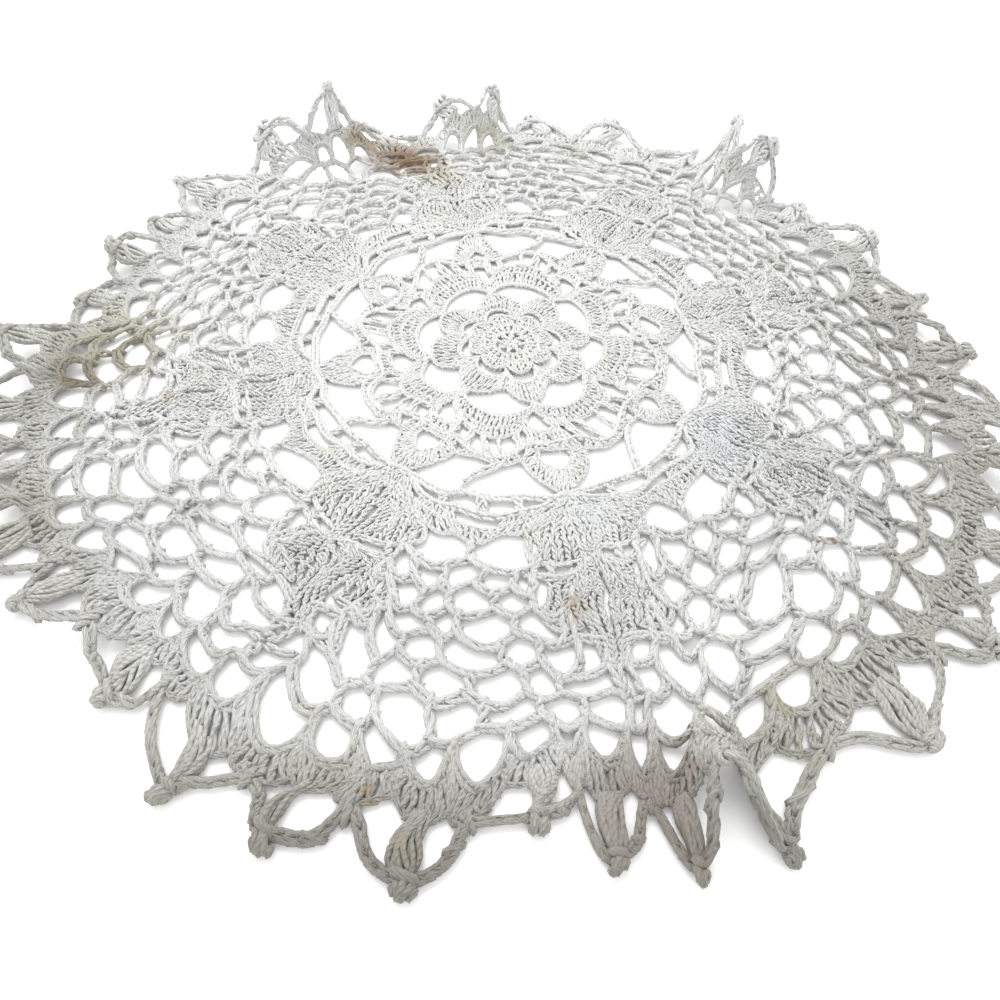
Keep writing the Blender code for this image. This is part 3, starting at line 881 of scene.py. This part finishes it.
def shells(threads):
    """Half-round shells of solid stitches on the last loops."""
    for i in range(2 * CLUSTERS):
        m = CLUSTER_PITCH * (0.25 + 0.5 * i)
        row(threads, curve(SHELL_INNER, m), curve(SHELL_OUTER, m), 12, over=0.45, head_height=1.2, places=7,
            turns=1.3, wander=0.22, twist=0.34, thread=0.56)


PUFF_STRANDS = 5
PUFF_PLACES = 9
PUFF_THREAD = 0.68
PUFF_WIDTH = 1.85


def puff(threads, foot, head, height, bow):
    """One puffy post: strands gathered at both ends round a swollen middle. bow bends it to one side."""
    t = np.linspace(0.0, 1.0, PUFF_PLACES)
    ahead = head - foot
    left = np.array((-ahead[1], ahead[0])) / np.linalg.norm(ahead)
    swell = 0.40 + 0.64 * np.sin(math.pi * np.clip(t * 0.92 + 0.04, 0.0, 1.0)) ** 0.9
    twist = rng.choice((-1.0, 1.0)) * rng.uniform(2.4, 4.4)
    for strand in range(PUFF_STRANDS):
        angle = 2.0 * math.pi * (strand + rng.uniform(-0.25, 0.25)) / PUFF_STRANDS + twist * t
        across = 0.5 * PUFF_WIDTH * swell * np.cos(angle) + bow * np.sin(math.pi * t) + rng.normal(0.0, 0.08)
        across = across + 0.34 * np.sin(2.0 * math.pi * (rng.uniform(0.8, 1.6) * t + rng.uniform(0.0, 1.0)))
        z = height + 0.34 * PUFF_WIDTH * swell * np.sin(angle)
        flat = foot + ahead * t[:, None] + left * across[:, None]
        threads.add(flat, z, PUFF_THREAD * (0.75 + 0.25 * swell), sides=5)


CLUSTER_FOOT = 2.310
CLUSTER_HEAD = 2.535
CLUSTER_PUFFS = (
    # foot and head to one side in degrees, height and bow in millimetres
    (-0.50, -0.30, 1.30, -0.80),
    (0.50, 0.30, 1.30, 0.80),
    (0.0, 0.0, 1.75, 0.0),
)
BETWEEN_KNOTS = ((2.335, 1.35), (2.362, 1.55), (2.390, 1.45))   # radius, size


def clusters(threads):
    """Puffy clusters with a knob on every other shell, knots between them, and the edge's chain loops."""
    for i in range(CLUSTERS):
        a = FIRST_CLUSTER + CLUSTER_PITCH * i
        tip = a + rng.normal(0.0, 0.45)
        reach = CLUSTER_HEAD + rng.uniform(-0.035, 0.010)
        for foot, head, high, bow in CLUSTER_PUFFS:
            puff(threads, polar(CLUSTER_FOOT, a + foot), polar(reach, tip + head), high, bow)
        knob(threads, reach, tip)
        for side in (-1.0, 1.0):
            bend = rng.uniform(-0.5, 0.8)
            start = side * (tip - a)
            places = ((reach - 0.005, start + 0.3), (reach - 0.011, start + 1.1), (reach - 0.041, 2.0 + bend),
                      (2.448, 3.0 + bend), (2.405, 3.9 + 0.5 * bend), (2.372, 4.75))
            roll = rng.uniform(-0.4, 0.4)
            chain(threads, curve(places, a, side), size=1.40, pitch=1.85, height=1.25, roll=roll)
            bump_r, bump_a = places[3 if rng.random() < 0.5 else 2]
            knot(threads, polar(bump_r, a + side * bump_a), outward(a) + 0.5 * side, size=1.55, height=1.25,
                 rise=0.6)
        between = a + 0.5 * CLUSTER_PITCH
        for r, size in BETWEEN_KNOTS:
            knot(threads, polar(r, between), outward(between) + 0.5 * math.pi, size=size, height=1.3)
        posts(threads, polar([2.300, 2.300], [between - 0.6, between + 0.6]),
              polar([2.395, 2.395], [between - 0.3, between + 0.3]), size=1.7, height=1.25)


KNOB_OUT = 0.024            # from the cluster's head to the middle of its knob, in ring units
KNOB_LOOPS = (
    # across, half length, half height, thread, all in millimetres
    (-1.85, 0.62, 0.65, 0.74),
    (-0.98, 1.32, 1.00, 0.86),
    (0.00, 1.66, 1.20, 0.92),
    (0.98, 1.32, 1.00, 0.86),
    (1.85, 0.62, 0.65, 0.74),
)


def knob(threads, r, a):
    """The rounded knob at a cluster's tip: fat loops folded over the tip, side by side."""
    turned = circle(12)
    middle = polar(r + KNOB_OUT, a)
    for across, half, high, thick in KNOB_LOOPS:
        heading = outward(a) + rng.normal(0.0, 0.22) - 0.26 * across
        ahead, left = ways(heading)
        spot = middle + (across + rng.normal(0.0, 0.15)) * left
        flat = spot + half * np.cos(turned)[:, None] * ahead
        z = 1.80 + rng.uniform(-0.15, 0.25) + high * np.sin(turned)
        threads.add(flat, z, thick, sides=5, closed=True, up=(*left, 0.0))
    knot(threads, polar(r - 0.012, a), outward(a), size=2.1, height=1.70, rise=0.62)


# ---- materials
PLY_LAY = 0.80              # plies a millimetre along a thread
PLIES = 3.0                 # plies round it
BUMP_STRENGTH = 0.65
BUMP_DEPTH = 0.00022        # in metres
COTTON_LIGHT = (0.680, 0.684, 0.668)
COTTON_DARK = (0.395, 0.398, 0.384)
# grey towards the rim, and painted shade towards the front, which faces away from the key light
RIM_GREY_AND_PAINTED_SHADE = (0.630, 0.619, 0.590)
FRONT_PAINTED_SHADE = (0.530, 0.518, 0.488)
AGED_TINT = (0.93, 0.90, 0.80)      # for the yellower patches
CENTRE_TINT = (0.755, 0.760, 0.750)
# the cloth is lightened near this spot and greyed far from it; towards the front that grey is painted shade
PALEST_SPOT = (-0.009, 0.0, 0.0)       # the cloth is greyer the farther it is from here
GREY_SHAPE = (1.08, 0.97, 0.0)      # how fast it greys along x, y and z
# grey for patches of painted shade along the front
FRONT_SHADE_GREY = (0.43, 0.43, 0.42)
STAINS_AND_PAINTED_SHADE = (
    # flat r, angle, reach (mm), strength, colour
    (2.1, 231.0, 18.0, 0.95, (0.185, 0.105, 0.045)),
    (1.94, 228.0, 11.0, 0.75, (0.24, 0.15, 0.075)),
    (2.3, 236.0, 13.0, 0.75, (0.22, 0.16, 0.09)),
    (2.02, 305.0, 20.0, 0.75, (0.26, 0.23, 0.155)),
    (2.14, 309.0, 11.0, 0.8, (0.15, 0.115, 0.068)),
    (1.9, 303.0, 11.0, 0.7, (0.22, 0.2, 0.145)),
    (1.68, 316.0, 4.0, 0.5, (0.38, 0.3, 0.21)),
    (2.1, 213.0, 13.0, 0.5, (0.36, 0.34, 0.23)),
    (2.2, 240.0, 9.0, 0.5, (0.35, 0.31, 0.21)),
    (2.1, 196.0, 9.0, 0.35, (0.37, 0.35, 0.25)),
    (1.72, 226.0, 13.0, 0.4, (0.43, 0.395, 0.285)),
    (2.12, 297.0, 16.0, 0.5, (0.36, 0.35, 0.25)),
    (1.8, 299.0, 13.0, 0.4, (0.4, 0.385, 0.3)),
    # the six grey patches from here on lie over the front half and are painted shade
    (1.62, 88.0, 34.0, 0.35, (0.43, 0.436, 0.43)),
    (1.98, 340.0, 32.0, 0.5, FRONT_SHADE_GREY),
    (1.85, 2.0, 30.0, 0.42, FRONT_SHADE_GREY),
    (1.7, 22.0, 28.0, 0.45, FRONT_SHADE_GREY),
    (1.7, 42.0, 28.0, 0.48, FRONT_SHADE_GREY),
    (1.58, 68.0, 28.0, 0.5, FRONT_SHADE_GREY),
    (2.52, 50.0, 15.0, 0.5, (0.205, 0.185, 0.16)),
    (0.66, 85.0, 3.6, 0.6, (0.23, 0.205, 0.18)),
    (1.85, 81.0, 3.4, 0.9, (0.18, 0.105, 0.06)),
    (1.565, 41.0, 6.0, 0.5, (0.39, 0.32, 0.225)),
    (2.3, 18.0, 2.6, 0.8, (0.27, 0.19, 0.09)),
    (2.42, 22.0, 5.0, 0.45, (0.3, 0.24, 0.16)),
    (2.22, 54.0, 8.0, 0.65, (0.23, 0.18, 0.145)),
    (2.36, 48.0, 21.0, 0.78, (0.225, 0.198, 0.17)),
    (2.14, 66.0, 6.0, 0.6, (0.29, 0.26, 0.16)),
    (2.36, 66.0, 9.0, 0.45, (0.25, 0.23, 0.17)),
    (2.34, 102.0, 6.0, 0.45, (0.28, 0.235, 0.15)),
    (2.26, 14.0, 9.0, 0.3, (0.33, 0.32, 0.25)),
    (2.3, 330.0, 14.0, 0.4, (0.29, 0.275, 0.205)),
    (2.52, 12.0, 6.0, 0.45, (0.23, 0.215, 0.19)),
    (2.55, 3.0, 4.0, 0.45, (0.29, 0.265, 0.16)),
    (1.16, 88.0, 17.0, 0.38, (0.56, 0.6, 0.645)),
    (1.1, 48.0, 12.0, 0.25, (0.64, 0.665, 0.69)),
)


class Graph:
    """A material's nodes, made and linked by short calls."""

    def __init__(self, name):
        self.material = bpy.data.materials.new(name)
        self.material.use_nodes = True
        self.nodes = self.material.node_tree.nodes
        self.links = self.material.node_tree.links
        self.shader = self.nodes["Principled BSDF"]

    def set(self, socket, value):
        if isinstance(value, bpy.types.NodeSocket):
            self.links.new(value, socket)
        elif value is not None:
            socket.default_value = value

    def make(self, kind, *values, **settings):
        """The outputs of a new node, with its inputs given in their order."""
        node = self.nodes.new("ShaderNode" + kind)
        for name, value in settings.items():
            setattr(node, name, value)
        for socket, value in zip(node.inputs, values):
            self.set(socket, value)
        return node.outputs

    def math(self, operation, *values):
        return self.make("Math", *values, operation=operation)[0]

    def vector(self, operation, *values, output="Vector"):
        return self.make("VectorMath", *values, operation=operation)[output]

    def noise(self, where, scale, detail=2.0, roughness=0.55, output="Fac"):
        return self.make("TexNoise", where, None, scale, detail, roughness)[output]

    def remap(self, value, low, high, new_low=0.0, new_high=1.0):
        return self.make("MapRange", value, low, high, new_low, new_high, interpolation_type="SMOOTHSTEP")[0]

    def mix(self, share, a, b, blend="MIX"):
        node = self.nodes.new("ShaderNodeMix")
        node.data_type = "RGBA"
        node.blend_type = blend
        colour_in = [socket for socket in node.inputs if socket.type == "RGBA"]
        self.set(node.inputs[0], share)
        for socket, value in zip(colour_in, (a, b)):
            self.set(socket, value if isinstance(value, bpy.types.NodeSocket) else (*value, 1.0))
        return [socket for socket in node.outputs if socket.type == "RGBA"][0]

    def tint(self, share, colour, by):
        return self.mix(share, colour, self.mix(1.0, colour, by, "MULTIPLY"))

    def split(self, vector):
        return self.make("SeparateXYZ", vector)


def cotton_thread():
    """Soft plied cotton: the twist of the plies, fibres, painted shade in the ply grooves, a grey tint
    towards the rim that is painted shade towards the front, and stains with grey patches of painted shade
    along the front.
    """
    g = Graph("cotton_thread")
    places = g.nodes.new("ShaderNodeTexCoord").outputs["Object"]
    uv = g.nodes.new("ShaderNodeUVMap")
    uv.uv_map = "thread"
    thread_uv = g.split(uv.outputs["UV"])
    fibres = g.noise(places, 2600.0, 4.0, 0.7)
    fuzz = g.noise(places, 1100.0, 3.0, 0.65)
    # twist of the plies along and round each thread
    lay_at = g.math("MULTIPLY_ADD", thread_uv["X"], PLY_LAY, g.math("MULTIPLY", thread_uv["Y"], PLIES))
    lay_at = g.math("ADD", lay_at, g.math("MULTIPLY", fuzz, 0.95))
    saw = g.math("FRACT", lay_at)
    from_crown = g.math("ABSOLUTE", g.math("MULTIPLY_ADD", saw, 2.0, -1.0))
    ply = g.math("SUBTRACT", 1.0, g.math("POWER", from_crown, 2.2))
    # colour: random tone from fibre and patch noise, with painted shade in the grooves between the plies
    broad = g.noise(places, 55.0, 3.0, 0.6)
    patch = g.noise(places, 260.0, 3.0, 0.6)
    # the ply term lightens each ply's crown and darkens the grooves between plies: painted shade
    tone_and_groove_shade = g.math("ADD", g.math("MULTIPLY", ply, 0.30), g.math("MULTIPLY", fuzz, 0.76))
    tone_and_groove_shade = g.math("ADD", tone_and_groove_shade, g.math("MULTIPLY_ADD", patch, 0.30, -0.14))
    tone_and_groove_shade = g.remap(tone_and_groove_shade, 0.18, 0.84)
    colour = g.mix(tone_and_groove_shade, COTTON_DARK, COTTON_LIGHT)
    wander = g.math("MULTIPLY_ADD", broad, 0.030, -0.015)
    away = g.vector("LENGTH", g.vector("MULTIPLY", g.vector("SUBTRACT", places, PALEST_SPOT), GREY_SHAPE),
                    output="Value")
    colour = g.mix(g.remap(away, 0.030, 0.095, 0.38, 0.0), colour, CENTRE_TINT)
    back = g.math("ADD", g.split(places)["Y"], wander)
    # grey towards the rim, strongest at the front, where it is painted shade
    rim = g.math("MULTIPLY", g.remap(g.math("ADD", away, wander), 0.103, 0.138), g.remap(back, 0.098, 0.010))
    colour = g.tint(rim, colour, RIM_GREY_AND_PAINTED_SHADE)
    # painted shade along the front edge
    colour = g.tint(g.remap(back, -0.114, -0.146), colour, FRONT_PAINTED_SHADE)
    colour = g.tint(g.remap(broad, 0.52, 0.70, 0.0, 0.28), colour, AGED_TINT)
    warp = g.noise(places, 240.0, 2.0, 0.5, "Color")
    shifted = g.vector("MULTIPLY", g.vector("SUBTRACT", warp, (0.5, 0.5, 0.5)), (0.012, 0.012, 0.012))
    warped = g.vector("ADD", places, shifted)
    # stains, and grey patches of painted shade along the front
    for r, a, reach, strength, mark_colour in STAINS_AND_PAINTED_SHADE:
        flat = polar(r, a)
        spot = drape(np.array([[flat[0], flat[1], 1.0]]))[0]
        far = g.vector("DISTANCE", warped, tuple(float(v) for v in spot), output="Value")
        share = g.remap(far, 0.15 * reach * MM, reach * MM, strength, 0.0)
        colour = g.mix(share, colour, mark_colour)
    g.set(g.shader.inputs["Base Color"], colour)
    # surface
    g.set(g.shader.inputs["Roughness"], g.remap(fibres, 0.3, 0.7, 0.72, 0.98))
    for name, value in (("Specular IOR Level", 0.25), ("Sheen Weight", 0.25), ("Sheen Roughness", 0.5)):
        g.shader.inputs[name].default_value = value
    relief = g.math("ADD", g.math("MULTIPLY", ply, 0.75), g.math("MULTIPLY", fuzz, 0.85))
    relief = g.math("ADD", relief, g.math("MULTIPLY", fibres, 0.5))
    bump = g.nodes.new("ShaderNodeBump")
    bump.inputs["Strength"].default_value = BUMP_STRENGTH
    bump.inputs["Distance"].default_value = BUMP_DEPTH
    g.set(bump.inputs["Height"], relief)
    g.set(g.shader.inputs["Normal"], bump.outputs["Normal"])
    return g.material


def floor_material():
    """A plain pale floor, matt, with a faint grain."""
    g = Graph("pale_floor")
    places = g.nodes.new("ShaderNodeTexCoord").outputs["Object"]
    grain = g.noise(places, 300.0, 2.0)
    g.set(g.shader.inputs["Base Color"], g.mix(grain, (0.955, 0.955, 0.95), (0.975, 0.975, 0.97)))
    g.set(g.shader.inputs["Roughness"], g.remap(grain, 0.3, 0.7, 0.86, 0.94))
    g.shader.inputs["Specular IOR Level"].default_value = 0.1
    return g.material


# ---- build
GROUPS = (
    ("rose", rose, ()),
    ("band", band, ()),
    ("stems", stems, ()),
    ("sprays_front", leaves, ((6, 7, 0, 1),)),
    ("sprays_back", leaves, ((2, 3, 4, 5),)),
    ("fans", fans, ()),
    ("net_front", net, ((6, 7, 0, 1),)),
    ("net_back", net, ((2, 3, 4, 5),)),
    ("outer_loops", last_round, ()),
    ("shells", shells, ()),
    ("edge_clusters", clusters, ()),
)

thread = cotton_thread()
for name, work, parts in GROUPS:
    threads = Threads(name)
    work(threads, *parts)
    piece = threads.build(thread)
    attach(piece, "root")
    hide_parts(NODE)

# ---- floor, light and camera
FLOOR_HALF = 3.0
FLOOR_LOW = -0.0002         # just under the lowest threads, in metres
corners = [(x * FLOOR_HALF, y * FLOOR_HALF, 0.0) for x, y in ((-1, -1), (1, -1), (1, 1), (-1, 1))]
floor_mesh = bpy.data.meshes.new("floor")
floor_mesh.from_pydata(corners, [], [(0, 1, 2, 3)])
floor_mesh.materials.append(floor_material())
floor = bpy.data.objects.new("floor", floor_mesh)
floor.location.z = FLOOR_LOW
bpy.context.scene.collection.objects.link(floor)

WORLD_STRENGTH = 1.30
world = bpy.data.worlds.new("studio")
world.use_nodes = True
background = world.node_tree.nodes["Background"].inputs
background["Color"].default_value = (1.0, 1.0, 1.0, 1.0)
background["Strength"].default_value = WORLD_STRENGTH
bpy.context.scene.world = world
bpy.context.scene.view_settings.view_transform = "Standard"

KEY_PLACE = Vector((-0.22, 0.44, 0.75))
KEY_TARGET = Vector((0.0, 0.03, 0.0))
KEY_SIZE = 0.6
KEY_POWER = 5.6
key = bpy.data.lights.new("key", "AREA")
key.shape = "SQUARE"
key.size = KEY_SIZE
key.energy = KEY_POWER
lamp = bpy.data.objects.new("key", key)
lamp.location = KEY_PLACE
lamp.rotation_euler = (KEY_TARGET - KEY_PLACE).to_track_quat("-Z", "Y").to_euler()
bpy.context.scene.collection.objects.link(lamp)

LENS = 0.699                # focal length over the picture's width
ELEVATION = 0.945798335     # how far the camera looks down, in radians
ROLL = 0.0607051554         # its turn about its own axis
AIM = Vector((-0.00635191975, -0.999891983, 0.0))   # the place that it looks at, in ring units
DISTANCE = 3.10050380       # from there to the camera, in ring units
camera_data = bpy.data.cameras.new("camera")
camera_data.sensor_width = 36.0
camera_data.lens = camera_data.sensor_width * LENS
camera = bpy.data.objects.new("camera", camera_data)
ahead = Vector((0.0, math.cos(ELEVATION), -math.sin(ELEVATION)))
right = Vector((1.0, 0.0, 0.0))
above = right.cross(ahead)
camera_x = math.cos(ROLL) * right + math.sin(ROLL) * above
camera_y = -math.sin(ROLL) * right + math.cos(ROLL) * above
camera.matrix_world = Matrix((camera_x, camera_y, -ahead)).transposed().to_4x4()
camera.location = (AIM - DISTANCE * ahead) * (RING * MM)
bpy.context.scene.collection.objects.link(camera)
bpy.context.scene.camera = camera
